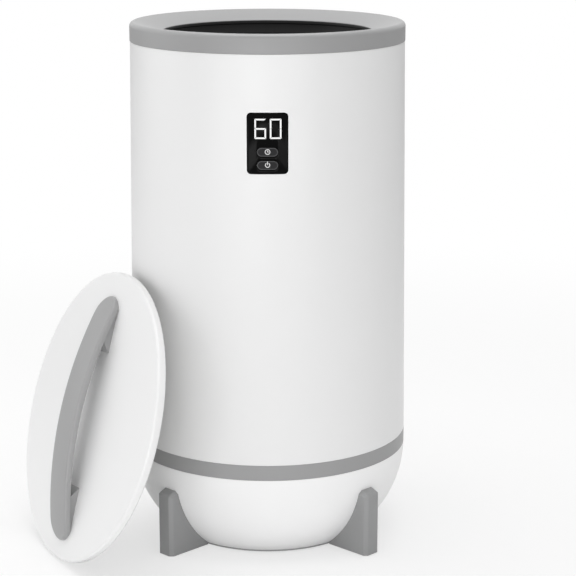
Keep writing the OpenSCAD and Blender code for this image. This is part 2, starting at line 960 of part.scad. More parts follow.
module control_fascia() {
  color(dark)
    difference() {
      intersection() {
        through_front(panel_z)
          rounded_rect(panel_w, panel_h, panel_corner);
        panel_layer(-panel_out, recess);
      }
      for (z = [timer_z, power_z])
        through_front(z)
          pill(button_w + 2 * button_gap, button_h + 2 * button_gap);
      through_front(display_z)
        digits_outline();
    }
}

module display_digits() {
  color([1, 1, 1])
    intersection() {
      to_front(display_face, panel_r + front_reach, display_z)
        digits_outline();
      cone(-panel_out, panel_z - panel_h, panel_z + panel_h);
    }
}

module display_module() {
  color([0.2, 0.2, 0.22])
    translate([-display_w / 2, -display_face, display_z - display_h / 2])
      cube([display_w, display_face - board_face - fit, display_h]);
}

module button(z) {
  color([0.18, 0.18, 0.19]) {
    intersection() {
      through_front(z)
        pill(button_w, button_h);
      panel_layer(-panel_out - button_out, recess + 2 * fit);
    }
    // Rim behind the panel that keeps the button in
    intersection() {
      through_front(z)
        pill(button_w + 2 * button_rim, button_h + 2 * button_rim);
      panel_layer(recess + fit, recess + fit + button_rim_t);
    }
    translate([0, -stem_end, z])
      rotate([90, 0, 0])
        cylinder(r = stem_r, h = panel_r - recess - button_rim_t / 2 - stem_end);
  }
}

module timer_button() { button(timer_z); }
module power_button() { button(power_z); }

module plunger(z) {
  color([0.75, 0.75, 0.75])
    translate([0, -(stem_end - plunger_out - plunger_in), z])
      rotate([90, 0, 0])
        cylinder(r = plunger_r, h = plunger_out + plunger_in);
}

module timer_plunger() { plunger(timer_z); }
module power_plunger() { plunger(power_z); }

module tact_switches() {
  color([0.25, 0.25, 0.27])
    for (z = [timer_z, power_z])
      difference() {
        translate([-switch_w / 2, -board_face - fit - switch_h, z - switch_w / 2])
          cube([switch_w, switch_h, switch_w]);
        translate([0, -(stem_end - plunger_out - plunger_in - press_travel - plunger_play), z])
          rotate([90, 0, 0])
            cylinder(r = plunger_r + plunger_gap, h = 2 * switch_h);
      }
}

module control_board() {
  color(board_green)
    difference() {
      translate([-board_w / 2, -board_face, panel_z - board_h / 2])
        cube([board_w, board_t, board_h]);
      for (x = [-1, 1], z = [-1, 1])
        translate([x * board_screw_x, -board_face - past, panel_z + z * board_screw_z])
          rotate([-90, 0, 0])
            cylinder(r = m3_r + pass, h = board_t + 2 * past);
    }
}

module power_board() {
  color(board_green)
    difference() {
      translate([-power_w / 2, -power_d / 2, power_low])
        cube([power_w, power_d, board_t]);
      for (x = [-1, 1], y = [-1, 1])
        translate([x * power_screw_x, y * power_screw_y, power_low - past])
          cylinder(r = m3_r + pass, h = board_t + 2 * past);
    }
  color([0.15, 0.15, 0.17]) {
    hung_block(relay_at, relay);
    hung_block(coil_at, coil);
    hung_block(terminal_at, terminal);
    translate([capacitor_at[0], capacitor_at[1], power_low - capacitor_h])
      cylinder(r = capacitor_r, h = capacitor_h);
  }
}

// A block on the underside of the power board
module hung_block(at, size) {
  translate([at[0], at[1], power_low - size[2]])
    cube(size);
}

module board_screws() {
  color(metal) {
    for (x = [-1, 1], z = [-1, 1])
      translate([x * board_screw_x, -board_face + board_t, panel_z + z * board_screw_z])
        rotate([90, 0, 0])
          screw(m3_r, board_screw_l, m3_head_r, m3_head_h);
    for (x = [-1, 1], y = [-1, 1])
      translate([x * power_screw_x, y * power_screw_y, power_low])
        screw(m3_r, board_screw_l, m3_head_r, m3_head_h);
  }
}

// Wires

// From the gland to the underside of the terminal block
module mains_lead() {
  start = gland_face - gland_in - wire_gap;
  x = terminal_at[0] + terminal[0] / 2;
  y = terminal_at[1] + terminal[1] / 2;
  end_z = power_low - terminal[2] - wire_gap;
  color(dark)
    wire([[0, start, gland_z], [0, start * 0.6, gland_z], [x, start * 0.3, (gland_z + end_z) / 2],
          [x, y, end_z - wire_dip], [x, y, end_z]], mains_wire_r);
}

// From the terminal block through the rear opening and up the slot to the heating mat
module heater_leads() {
  x0 = terminal_at[0] + terminal[0] / 2;
  start = terminal_at[1] + terminal[1] + wire_gap;
  start_z = power_low - terminal[2] / 2;
  mat_y = heater_in_r + heater_t + heater_wire_r + wire_gap;
  color([0.75, 0.15, 0.1])
    for (x = [-1, 1])
      wire([[x0 + x * wire_pair, start, start_z], [x * wire_pair, start + wire_run, start_z],
            [x * wire_pair, rear_hole_y, power_top - wire_dip],
            [x * wire_pair, rear_hole_y, heater_z + wire_dip],
            [x * wire_spread, mat_y, heater_z + wire_dip + wire_spread],
            [x * wire_spread, mat_y, heater_z + slot_up - wire_spread]], heater_wire_r);
}

// From the power board through the front opening and up to the back of the control board
module panel_lead() {
  under_board = power_low - panel_wire_r - wire_gap;
  behind_board = -board_face + board_t + panel_wire_r + wire_gap;
  board_low = panel_z - board_h / 2;
  color([0.85, 0.85, 0.85])
    wire([[0, -power_d / 2 + power_edge, under_board], [0, -power_d / 2 - wire_dip, power_top - wire_dip],
          [0, front_hole_y, power_top - wire_dip], [0, front_hole_y, board_low - wire_run],
          [0, behind_board, board_low - wire_run / 4], [0, behind_board, board_low + wire_run / 2]],
         panel_wire_r);
}

// Lid, drawn lying with its outer face in the plane Z = 0, then leaned on the shell

module lid_place() {
  rotate([0, 0, -lid_turn])
    translate([-lid_side, -lid_out, lid_centre_z])
      rotate([90 - lid_lean, 0, 0])
        rotate([0, 0, handle_turn])
          children();
}

module lid_outline() {
  translate([0, -lid_t])
    square([lid_r - lid_edge, lid_t]);
  translate([0, -lid_t + lid_back_edge])
    square([lid_r, lid_t - lid_edge - lid_back_edge]);
  translate([0, -lid_t])
    square([lid_r - lid_back_edge, lid_back_edge + past]);
  translate([lid_r - lid_edge, -lid_edge])
    circle(lid_edge);
  translate([lid_r - lid_back_edge, -lid_t + lid_back_edge])
    circle(lid_back_edge);
}

module handle_screw_spots() {
  for (x = [-1, 1], s = [-1, 1])
    translate([x * handle_screw_x, s * handle_screw_s, 0])
      children();
}

module lid_top() {
  color(white)
    lid_place()
      difference() {
        union() {
          rotate_extrude()
            difference() {
              lid_outline();
              translate([0, -lid_t - past])
                square([lid_r - lid_skirt, lid_t - lid_skin + past]);
            }
          translate([0, 0, -lid_t + lid_inner_t + fit])
            around(lid_screw_count, lid_screw_r)
              cylinder(r = lid_boss_r, h = lid_t - lid_inner_t - lid_skin);
        }
        translate([0, 0, -lid_t])
          around(lid_screw_count, lid_screw_r)
            cylinder(r = m3_r + bite, h = lid_t - lid_skin + past);
        handle_screw_spots()
          translate([0, 0, -lid_skin - past])
            cylinder(r = m4_r + pass, h = lid_skin + 2 * past);
      }
}

module lid_inner() {
  top = -lid_t + lid_inner_t;
  color([0.86, 0.86, 0.86])
    lid_place()
      difference() {
        rotate_extrude()
          difference() {
            union() {
              translate([0, -lid_t])
                square([lid_r - lid_skirt - fit, lid_inner_t]);
              translate([0, -lid_t - plug_h])
                square([plug_r - plug_edge, plug_h]);
              translate([0, -lid_t - plug_h + plug_edge])
                square([plug_r, plug_h - plug_edge]);
              translate([plug_r - plug_edge, -lid_t - plug_h + plug_edge])
                circle(plug_edge);
            }
            translate([0, -lid_t - plug_h + lid_inner_t])
              square([plug_r - lid_inner_t, plug_h + past]);
            // Groove for the seal
            translate([plug_r - seal_let_in - fit / 2, seal_z - seal_h / 2 - fit / 2])
              square([seal_let_in + past, seal_h + fit]);
          }
        translate([0, 0, -lid_t - past])
          around(lid_screw_count, lid_screw_r)
            cylinder(r = m3_r + pass, h = lid_inner_t + 2 * past);
      }
}

module lid_insulation() {
  low = -lid_t - plug_h + lid_inner_t + fit;
  color(felt)
    lid_place()
      difference() {
        translate([0, 0, low])
          cylinder(r = plug_r - lid_inner_t - fit, h = -lid_skin - fit - low);
        handle_screw_spots()
          translate([0, 0, -lid_skin - m4_head_h - 2])
            cylinder(r = m4_head_r + 1, h = m4_head_h + 3);
      }
}

module lid_seal() {
  color(dark)
    lid_place()
      rotate_extrude()
        union() {
          translate([plug_r - seal_let_in, seal_z - seal_h / 2])
            square([seal_let_in + seal_out - seal_h / 2, seal_h]);
          translate([plug_r + seal_out - seal_h / 2, seal_z])
            circle(seal_h / 2);
        }
}

module lid_screws() {
  color(metal)
    lid_place()
      translate([0, 0, -lid_t])
        around(lid_screw_count, lid_screw_r)
          screw(m3_r, lid_screw_l, m3_head_r, m3_head_h);
}

module handle_screws() {
  color(metal)
    lid_place()
      translate([0, 0, -lid_skin])
        handle_screw_spots()
          screw(m4_r, handle_screw_l, m4_head_r, m4_head_h);
}

module lid_handle() {
  color(grey)
    lid_place()
      difference() {
        union() {
          // Arched strap with round ends
          intersection() {
            linear_extrude(height = handle_h + past)
              rotate([0, 0, 90])
                pill(handle_l, handle_w);
            translate([-handle_w, 0, handle_h - strap_arc])
              rotate([0, 90, 0])
                difference() {
                  cylinder(r = strap_arc, h = 2 * handle_w, $fn = 360);
                  translate([0, 0, -past])
                    cylinder(r = strap_arc - strap_t, h = 2 * handle_w + 2 * past, $fn = 360);
                }
          }
          // Feet under its ends
          for (s = [-1, 1])
            intersection() {
              translate([-handle_foot_w / 2, 0, 0])
                rotate([90, 0, 90])
                  linear_extrude(height = handle_foot_w)
                    polygon([[s * heel_in, 0], [s * heel_top, strap_arc_z(heel_top) - strap_t + past],
                             [s * heel_out, strap_arc_z(heel_out) - strap_t / 2], [s * heel_out, 0]]);
              linear_extrude(height = handle_h)
                rotate([0, 0, 90])
                  pill(handle_l, handle_w);
            }
        }
        handle_screw_spots()
          translate([0, 0, -past])
            cylinder(r = m4_r + bite, h = handle_screw_l - lid_skin + hole_spare + past);
      }
}

// Height of the strap's top at a distance along it from the middle
function strap_arc_z(s) = handle_h - strap_arc + sqrt(pow(strap_arc, 2) - pow(s, 2));

outer_shell();
rim_ring();
inner_bucket();
heater_wrap();
insulation_sleeve();
floor_insulation();
chassis_plate();
band_ring();
base_shell();
base_plate();
foot_front_left();
foot_front_right();
foot_rear_left();
foot_rear_right();
foot_pads();
cord_gland();
control_fascia();
display_module();
display_digits();
control_board();
tact_switches();
timer_button();
power_button();
timer_plunger();
power_plunger();
power_board();
thermostat();
thermal_fuse();
mains_lead();
heater_leads();
panel_lead();
rim_screws();
chassis_screws();
base_screws();
foot_screws();
board_screws();
lid_top();
lid_inner();
lid_insulation();
lid_seal();
lid_handle();
handle_screws();
lid_screws();
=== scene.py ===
import bpy
import bmesh
import json
from math import atan2, cos, pi, radians, sin, sqrt
from mathutils import Matrix, Vector


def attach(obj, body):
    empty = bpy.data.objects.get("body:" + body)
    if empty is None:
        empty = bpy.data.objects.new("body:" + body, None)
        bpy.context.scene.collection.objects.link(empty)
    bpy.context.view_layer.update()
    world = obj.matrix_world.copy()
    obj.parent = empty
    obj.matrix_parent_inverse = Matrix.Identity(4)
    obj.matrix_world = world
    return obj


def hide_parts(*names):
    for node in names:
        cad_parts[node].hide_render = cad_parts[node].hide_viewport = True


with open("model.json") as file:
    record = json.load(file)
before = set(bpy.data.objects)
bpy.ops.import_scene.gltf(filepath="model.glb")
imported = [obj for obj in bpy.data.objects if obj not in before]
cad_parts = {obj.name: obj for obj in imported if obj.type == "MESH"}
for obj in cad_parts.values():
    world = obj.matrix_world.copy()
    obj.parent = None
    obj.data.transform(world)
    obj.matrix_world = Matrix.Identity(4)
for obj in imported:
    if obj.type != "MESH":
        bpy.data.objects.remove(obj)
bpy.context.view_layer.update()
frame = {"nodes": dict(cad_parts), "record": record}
cadNodes = frame["nodes"]
bpy.ops.object.select_all(action="DESELECT")
print("frame loaded,", len(cadNodes), "nodes")


# Shader values that Python's own operators work on
class Value:
    def __init__(self, look, socket):
        self.look = look
        self.socket = socket

    def reckon(self, operation, *others):
        return self.look.add("ShaderNodeMath", {"operation": operation}, dict(enumerate((self,) + others)))

    def __add__(self, other):
        return self.reckon("ADD", other)

    def __mul__(self, other):
        return self.reckon("MULTIPLY", other)

    def __sub__(self, other):
        return self.reckon("SUBTRACT", other)

    def __rsub__(self, other):
        return self.look.add("ShaderNodeMath", {"operation": "SUBTRACT"}, {0: other, 1: self})

    __radd__ = __add__
    __rmul__ = __mul__


# One material with a Principled shader
class Look:
    def __init__(self, name, **fixed):
        self.material = bpy.data.materials.new(name)
        self.material.use_nodes = True
        self.tree = self.material.node_tree
        self.shader = self.tree.nodes["Principled BSDF"]
        self.wear(**fixed)

    def set(self, node, socket, value):
        if isinstance(value, Value):
            self.tree.links.new(value.socket, node.inputs[socket])
        else:
            node.inputs[socket].default_value = value

    def wear(self, **inputs):
        for socket, value in inputs.items():
            self.set(self.shader, socket.replace("_", " "), value)
        return self.material

    def add(self, kind, settings={}, values={}, out=0):
        node = self.tree.nodes.new(kind)
        for key, value in settings.items():
            if key == "stops":
                ramp = node.color_ramp.elements
                while len(ramp) < len(value):
                    ramp.new(0.5)
                for stop, (at, shade) in zip(ramp, value):
                    stop.position = at
                    stop.color = (shade, shade, shade, 1)
            else:
                setattr(node, key, value)
        for socket, value in values.items():
            self.set(node, socket, value)
        return Value(self, node.outputs[out])

    def place(self, stretch=(1, 1, 1), turn=(0, 0, 0)):
        at = self.add("ShaderNodeTexCoord", out="Object")
        return self.add("ShaderNodeMapping", {}, {"Vector": at, "Rotation": turn, "Scale": stretch})

    def noise(self, scale, detail=2.0, roughness=0.5, stretch=(1, 1, 1), turn=(0, 0, 0)):
        values = {"Vector": self.place(stretch, turn), "Scale": scale, "Detail": detail,
                  "Roughness": roughness}
        return self.add("ShaderNodeTexNoise", {}, values)

    def waves(self, scale, direction, bend=0.0):
        values = {"Vector": self.place(), "Scale": scale, "Distortion": bend, "Detail": 1.0}
        return self.add("ShaderNodeTexWave", {"bands_direction": direction}, values, out="Fac")

    def ramp(self, value, *stops):
        return self.add("ShaderNodeValToRGB", {"stops": stops}, {"Fac": value})

    def blend(self, factor, first, second):
        values = {0: factor}
        for socket, colour in ((6, first), (7, second)):
            values[socket] = colour if isinstance(colour, Value) else (*colour, 1)
        return self.add("ShaderNodeMix", {"data_type": "RGBA"}, values, out=2)

    def bump(self, height, depth):
        return self.add("ShaderNodeBump", {}, {"Height": height, "Distance": depth}, out="Normal")


def tinted(colour, change):
    return tuple(min(1, part * change) for part in colour)


# Smooth or fine-grained moulded plastic: slow drift of tone and gloss, flow waves, spark-eroded grain
def mouldedPlastic(name, colour, roughness, grain, grainDepth, flow=0.00002, drift=0.02, shine=0.5):
    look = Look(name, IOR=1.5, Specular_IOR_Level=shine)
    cloud = look.noise(9, 3, 0.6)
    slow = look.noise(38, 1, 0.4)
    fine = look.noise(grain, 2, 0.55)
    return look.wear(Base_Color=look.blend(cloud, tinted(colour, 1 - drift), tinted(colour, 1 + drift)),
                     Roughness=look.ramp(cloud, (0.3, roughness - 0.03), (0.7, roughness + 0.03)),
                     Normal=look.bump(slow * (flow / grainDepth) + fine, grainDepth))


# Drawn sheet under a thin baked coating: fine lines run up the wall
def coatedSheet(name, colour, roughness, lineDepth):
    look = Look(name, Specular_IOR_Level=0.3)
    lines = look.noise(900, 2, 0.6, stretch=(1, 1, 0.03))
    cloud = look.noise(14, 3, 0.6)
    return look.wear(Base_Color=look.blend(cloud, tinted(colour, 0.8), tinted(colour, 1.25)),
                     Roughness=look.ramp(lines, (0.3, roughness - 0.06), (0.7, roughness + 0.06)),
                     Normal=look.bump(lines, lineDepth))


def bareMetal(name, colour, roughness, lineDepth):
    look = Look(name, Metallic=1.0)
    lines = look.noise(1600, 2, 0.6, stretch=(1, 1, 0.1))
    stain = look.noise(220, 3, 0.6)
    return look.wear(Base_Color=look.blend(stain, tinted(colour, 0.86), tinted(colour, 1.08)),
                     Roughness=look.ramp(stain, (0.3, roughness - 0.08), (0.7, roughness + 0.1)),
                     Normal=look.bump(lines, lineDepth))


def mattRubber(name, colour, roughness=0.75, grainDepth=0.00005):
    look = Look(name, Specular_IOR_Level=0.35)
    bloom = look.noise(60, 3, 0.65)
    grain = look.noise(1300, 2, 0.6)
    return look.wear(Base_Color=look.blend(bloom, tinted(colour, 0.85), tinted(colour, 1.25)),
                     Roughness=look.ramp(bloom, (0.3, roughness - 0.08), (0.7, roughness + 0.06)),
                     Normal=look.bump(grain, grainDepth))


# Silicone mat on glass cloth, with the heating wire showing through in close bands
def heaterSilicone(name, colour, wireColour):
    look = Look(name, Specular_IOR_Level=0.4)
    cloth = look.waves(420, "Z") * look.noise(900, 1, 0.5, stretch=(1, 1, 0.2))
    wire = look.ramp(look.waves(16, "Z", 0.6), (0.86, 0), (0.95, 1))
    patchy = look.noise(40, 3, 0.6)
    worn = look.blend(patchy, tinted(colour, 0.85), tinted(colour, 1.15))
    return look.wear(Base_Color=look.blend(wire, worn, wireColour),
                     Roughness=look.ramp(patchy, (0.3, 0.5), (0.7, 0.62)),
                     Normal=look.bump(cloth + wire, 0.00025))


# Felt: long fibres crossing at three angles, paler where they bunch
def mineralFelt(name, colour):
    look = Look(name, Specular_IOR_Level=0.2, Sheen_Weight=0.2)
    fibres = look.noise(500, 2, 0.6, stretch=(1, 1, 0.08))
    crossed = look.noise(500, 2, 0.6, stretch=(0.08, 1, 1), turn=(0.3, 0.5, 0.7))
    third = look.noise(500, 2, 0.6, stretch=(1, 0.08, 1), turn=(0.8, 0.2, 0.4))
    bunch = look.noise(70, 3, 0.6)
    mesh = fibres + crossed + third
    lint = look.ramp(mesh * 0.333, (0.4, 0), (0.62, 1))
    return look.wear(Base_Color=look.blend(lint * bunch, tinted(colour, 0.72), tinted(colour, 1.12)),
                     Roughness=look.ramp(bunch, (0.3, 0.9), (0.7, 1.0)),
                     Normal=look.bump(mesh + bunch, 0.0008))


# Smoked gloss cover: hardly any grain, a breath of dust that only shows in its gloss
def smokedGloss(name, colour, roughness, shine):
    look = Look(name, Specular_IOR_Level=shine)
    dust = look.ramp(look.noise(1100, 2, 0.7), (0.62, 0), (0.8, 1))
    haze = look.noise(30, 2, 0.5)
    return look.wear(Base_Color=look.blend(dust, colour, tinted(colour, 2.2)),
                     Roughness=look.ramp(haze, (0.3, roughness), (0.7, roughness + 0.05)),
                     Normal=look.bump(haze, 0.00002))


# Light that comes through a dark diffuser, a little weaker towards some places
def litDiffuser(name, colour, strength):
    look = Look(name, Specular_IOR_Level=0.1, Emission_Strength=strength)
    uneven = look.noise(160, 1, 0.5)
    return look.wear(Base_Color=look.blend(uneven, tinted(colour, 0.01), tinted(colour, 0.02)),
                     Emission_Color=look.blend(uneven, tinted(colour, 0.96), colour),
                     Roughness=look.ramp(uneven, (0.3, 0.4), (0.7, 0.5)))


# Solder mask over copper tracks that run one way on one side of each step
def circuitBoard(name, mask, track):
    look = Look(name, IOR=1.5)
    along = look.ramp(look.waves(110, "X", 1.2), (0.72, 0), (0.8, 1))
    across = look.ramp(look.waves(90, "Z", 1.2), (0.78, 0), (0.86, 1))
    choose = look.ramp(look.noise(45, 0, 0.5), (0.48, 0), (0.52, 1))
    tracks = along * choose + across * (1 - choose)
    weave = look.noise(1200, 1, 0.5)
    return look.wear(Base_Color=look.blend(tracks, mask, track),
                     Roughness=look.ramp(weave, (0.3, 0.28), (0.7, 0.36)),
                     Normal=look.bump(tracks + weave * 0.2, 0.00006))


whitePlastic = {"colour": (0.86, 0.86, 0.86), "roughness": 0.32, "grain": 650, "grainDepth": 0.000006,
                "flow": 0.00003, "drift": 0.006}
linerPlastic = {"colour": (0.76, 0.76, 0.75), "roughness": 0.38, "grain": 900, "grainDepth": 0.00003}
innerPlastic = {"colour": (0.42, 0.42, 0.42), "roughness": 0.5, "grain": 900, "grainDepth": 0.00005}
trimPlastic = {"colour": (0.325, 0.325, 0.327), "roughness": 0.4, "grain": 1500, "grainDepth": 0.00002}
footPlastic = {"colour": (0.30, 0.302, 0.304), "roughness": 0.42, "grain": 1500, "grainDepth": 0.000025}
keyPlastic = {"colour": (0.019, 0.019, 0.02), "roughness": 0.42, "grain": 1500, "grainDepth": 0.00002,
              "shine": 0.1}
# A lighter dark grey for the keys' outline ring and sides: a painted highlight
keyPaintedHighlightPlastic = {"colour": (0.068, 0.068, 0.07), "roughness": 0.35, "grain": 1500, "grainDepth": 0.00002,
                  "shine": 0.2}
lipPlastic = {"colour": (0.93, 0.93, 0.93), "roughness": 0.34, "grain": 900, "grainDepth": 0.000006}
iconInk = {"colour": (0.78, 0.78, 0.78), "roughness": 0.5, "grain": 1500, "grainDepth": 0.00001}
partPlastic = {"colour": (0.02, 0.02, 0.022), "roughness": 0.45, "grain": 1300, "grainDepth": 0.00004}
plungerPlastic = {"colour": (0.5, 0.5, 0.48), "roughness": 0.4, "grain": 1300, "grainDepth": 0.00003}

finishes = {
    "shell_white": mouldedPlastic("shellWhite", **whitePlastic),
    "trim_grey": mouldedPlastic("trimGrey", **trimPlastic),
    "foot_grey": mouldedPlastic("footGrey", **footPlastic),
    "inner_grey": mouldedPlastic("innerGrey", **innerPlastic),
    "lid_liner": mouldedPlastic("lidLiner", **linerPlastic),
    "liner_black": coatedSheet("blackCoatedSheet", (0.009, 0.009, 0.0092), 0.42, 0.00001),
    "heater_film": heaterSilicone("heaterSilicone", (0.32, 0.07, 0.025), (0.14, 0.035, 0.02)),
    "insulation": mineralFelt("mineralFelt", (0.62, 0.59, 0.52)),
    "rubber_black": mattRubber("blackRubber", (0.022, 0.022, 0.022)),
    "fascia_black": smokedGloss("smokedGloss", (0.003, 0.003, 0.003), 0.09, 0.04),
    "digit_white": litDiffuser("litDigits", (1, 1, 1), 1.0),
    "button_dark": mouldedPlastic("keyDark", **keyPlastic),
    "board_green": circuitBoard("solderMask", (0.008, 0.07, 0.025), (0.03, 0.16, 0.06)),
    "component_dark": mouldedPlastic("partBlack", **partPlastic),
    "plunger_light": mouldedPlastic("plungerLight", **plungerPlastic),
    "screw_steel": bareMetal("zincSteel", (0.62, 0.62, 0.6), 0.38, 0.00002),
    "sensor_metal": bareMetal("sensorMetal", (0.72, 0.72, 0.72), 0.37, 0.00001),
    "lead_black": mattRubber("leadBlack", (0.025, 0.025, 0.025), 0.55, 0.00002),
    "lead_red": mattRubber("leadRed", (0.4, 0.02, 0.012), 0.5, 0.00002),
    "lead_white": mattRubber("leadWhite", (0.7, 0.7, 0.68), 0.5, 0.00002),
}
keyPaintedHighlightFinish = mouldedPlastic("keyPaintedHighlight", **keyPaintedHighlightPlastic)
iconFinish = mouldedPlastic("iconInk", **iconInk)
lipFinish = mouldedPlastic("lipWhite", **lipPlastic)

# The same white plastic in three tones, as painted light and shade: the shell painted darker, the base bowl
# painted lighter, the lid nearly as written
paintedLightTone = {"outer_shell": 0.96, "base_shell": 1.07, "lid_top": 0.995}

slotOfNode = {entry["node"]: entry["material_slot"] for entry in frame["record"]["subparts"]}
for node, piece in cadNodes.items():
    finish = finishes[slotOfNode[node]]
    if node in paintedLightTone:
        paintedLight = dict(whitePlastic, colour=tinted(whitePlastic["colour"], paintedLightTone[node]))
        finish = mouldedPlastic(node, **paintedLight)
    piece.data.materials.clear()
    piece.data.materials.append(finish)
print("finishes made:", len(finishes))

# Corners this near are merged, places this near are level, and facets this flat, in degrees, are joined
tolerance = {"merge": 0.00001, "same": 0.0001, "flat": 0.6}

# A face looks along a direction when its normal has at least this share of it
facing = 0.9


def wake(piece):
    if bpy.context.object and bpy.context.object.mode == "EDIT":
        bpy.ops.object.mode_set(mode="OBJECT")
    bpy.ops.object.select_all(action="DESELECT")
    piece.select_set(True)
    bpy.context.view_layer.objects.active = piece


def edit(piece, chosen="DESELECT"):
    wake(piece)
    bpy.ops.object.mode_set(mode="EDIT")
    bpy.ops.mesh.select_all(action=chosen)


def pick(kind, test):
    bpy.ops.mesh.select_mode(type=kind)
    bpy.ops.mesh.select_all(action="DESELECT")
    data = bpy.context.object.data
    mesh = bmesh.from_edit_mesh(data)
    for part in {"VERT": mesh.verts, "EDGE": mesh.edges, "FACE": mesh.faces}[kind]:
        if test(part):
            part.select_set(True)
    bmesh.update_edit_mesh(data)


def modify(piece, kind, **settings):
    wake(piece)
    modifier = piece.modifiers.new(kind.title(), kind)
    for key, value in settings.items():
        setattr(modifier, key, value)
    bpy.ops.object.modifier_apply(modifier=modifier.name)


def addBlock(low, high):
    bpy.ops.object.select_all(action="DESELECT")
    middle = [(a + b) / 2 for a, b in zip(low, high)]
    bpy.ops.mesh.primitive_cube_add(size=1, location=middle, scale=[b - a for a, b in zip(low, high)])
    bpy.ops.object.transform_apply(location=True, rotation=True, scale=True)
    return bpy.context.object


def settle(piece, name, body, finishList, stands=(), smooth=35):
    wake(piece)
    bpy.ops.object.transform_apply(location=True, rotation=True, scale=True)
    bpy.ops.object.shade_smooth_by_angle(angle=radians(smooth))
    piece.name = name
    piece.data.name = name
    if finishList:
        piece.data.materials.clear()
    for finish in finishList:
        piece.data.materials.append(finish)
    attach(piece, body)
    if stands:
        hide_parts(*stands)


# A copy of a CAD node with its triangles joined into whole faces, ready for modelling on
def copyOf(node):
    source = cadNodes[node]
    mesh = source.data.copy()
    piece = bpy.data.objects.new(node + "Copy", mesh)
    bpy.context.scene.collection.objects.link(piece)
    wake(piece)
    bpy.ops.mesh.customdata_custom_splitnormals_clear()
    edit(piece, "SELECT")
    bpy.ops.mesh.remove_doubles(threshold=tolerance["merge"])
    bpy.ops.mesh.dissolve_limited(angle_limit=radians(tolerance["flat"]))
    bpy.ops.object.mode_set(mode="OBJECT")
    return piece


# The feet and the cord gland with their sharp edges rounded
edgeRounding = {
    "foot_front_left": {"name": "footFrontLeft", "round": 0.001, "slot": "foot_grey"},
    "foot_front_right": {"name": "footFrontRight", "round": 0.001, "slot": "foot_grey"},
    "foot_rear_left": {"name": "footRearLeft", "round": 0.001, "slot": "foot_grey"},
    "foot_rear_right": {"name": "footRearRight", "round": 0.001, "slot": "foot_grey"},
    "cord_gland": {"name": "cordGland", "round": 0.0007, "slot": "rubber_black"},
}
for node, rounding in edgeRounding.items():
    piece = copyOf(node)
    modify(piece, "BEVEL", width=rounding["round"], segments=3, limit_method="ANGLE",
           angle_limit=radians(32))
    settle(piece, rounding["name"], "bucket", [finishes[rounding["slot"]]], [node])
print("feet and gland rounded")

handle = {"up": Vector((-0.8487, -0.4362, 0.2990)), "along": Vector((0.2015, 0.2561, 0.9454)), "turn": -1.3,
          "slide": 0.0031, "stretch": 1.006, "lidCentre": Vector((-0.18707, -0.08883, 0.14753)),
          "tip": 0.108, "flatFold": 0.05, "sharpFold": 0.6, "mergeCorners": 0.0009, "topRound": 0.0022,
          "round": 0.0007}


# The strap sits a little lower and steeper on the lid than its solid. The facets of its round ends are
# joined before its upper edge is rounded, because a cross edge left there shows as a dark line.
def addHandle():
    strap = copyOf("lid_handle")
    there = Matrix.Translation(handle["lidCentre"] - handle["slide"] * handle["along"])
    strap.data.transform(there @ Matrix.Scale(handle["stretch"], 4, handle["along"])
                         @ Matrix.Rotation(radians(handle["turn"]), 4, handle["up"])
                         @ Matrix.Translation(-handle["lidCentre"]))
    edit(strap)
    pick("EDGE", lambda edge: edge.calc_face_angle(pi) < handle["flatFold"]
         and all(face.normal.dot(handle["up"]) > facing for face in edge.link_faces)
         and abs((edge.verts[0].co - handle["lidCentre"]).dot(handle["along"])) > handle["tip"])
    bpy.ops.mesh.dissolve_edges()
    for merge in (True, False):
        pick("EDGE", lambda edge: edge.calc_face_angle(0) > handle["sharpFold"]
             and any(face.normal.dot(handle["up"]) > facing for face in edge.link_faces))
        if merge:
            bpy.ops.mesh.remove_doubles(threshold=handle["mergeCorners"])
    bpy.ops.mesh.bevel(offset=handle["topRound"], segments=4, affect="EDGES", clamp_overlap=False)
    bpy.ops.object.mode_set(mode="OBJECT")
    modify(strap, "BEVEL", width=handle["round"], segments=2, limit_method="ANGLE",
           angle_limit=radians(36))
    settle(strap, "lidHandle", "lid", [finishes["trim_grey"]], ["lid_handle"])


addHandle()
print("handle rounded")

shellCone = {"bottomRadius": 0.1472, "bottom": 0.1112, "topRadius": 0.1426, "top": 0.5276}
panel = {"wide": 0.0406, "middle": 0.441, "high": 0.0604, "corner": 0.0041, "sunk": 0.0014, "proud": 0.0004,
         "edge": 0.0003, "cutReach": 0.004, "cornerSteps": 8, "bends": 24}
digit = {"wide": 0.0117, "six": -0.0129, "zero": 0.0021, "low": 0.4454, "high": 0.4655, "bar": 0.0019,
         "split": 0.00017, "thick": 0.00012}
keys = {"wide": 0.0204, "high": 0.0086, "proud": 0.0011, "gap": 0.0002, "outline": 0.0009, "dip": 0.0001,
        "edge": 0.00025, "timer": 0.4326, "power": 0.4196, "stem": 0.002, "stemEnd": -0.1371,
        "stemEdge": 0.0003, "rim": 0.001, "rimGap": 0.0002, "rimThick": 0.001, "endSteps": 12, "bends": 12}
panelLip = {"wide": 0.00115, "proud": 0.00015, "sunk": 0.0004, "round": 0.0004}
icons = {"clockRadius": 0.0027, "clockLine": 0.00075, "longHand": 0.0013, "shortHand": 0.0012,
         "handLine": 0.0006, "powerRadius": 0.0025, "powerLine": 0.00075, "powerGap": 0.55,
         "barLow": 0.0004, "barHigh": 0.0032, "lift": 0.00006, "up": 0.0003}


def shellRadius(z):
    share = (z - shellCone["bottom"]) / (shellCone["top"] - shellCone["bottom"])
    return shellCone["bottomRadius"] + (shellCone["topRadius"] - shellCone["bottomRadius"]) * share


